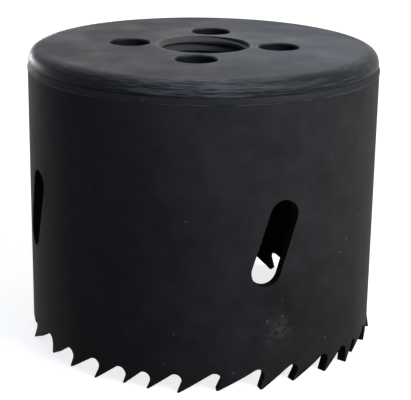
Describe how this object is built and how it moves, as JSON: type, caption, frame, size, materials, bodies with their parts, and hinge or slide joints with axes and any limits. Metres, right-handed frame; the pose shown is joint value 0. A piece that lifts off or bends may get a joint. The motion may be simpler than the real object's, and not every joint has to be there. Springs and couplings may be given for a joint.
{
  "type": "hole saw",
  "caption": "Steel cup with a ring of hooked saw teeth, slanted slots in its wall and a thick end cap threaded for an arbor; cuts round holes in wood or metal.",
  "frame": {"origin": "centre of the ring of tooth tips, in the plane that the tips stand on", "axes": "+Z along the saw's axis of turning, from the teeth up through the cap; -Y is the pictured front"},
  "size_m": [0.0601, 0.06, 0.05],
  "materials": {
    "cap_coating": "satin black coating, rubbed at the edges",
    "shell_coating": "matte black coating",
    "weld_coating": "matte black coating over an uneven weld"
  },
  "bodies": {
    "root": {"cap": "cap_coating", "shell": "shell_coating", "weld_bead": "weld_coating"}
  },
  "joints": []
}
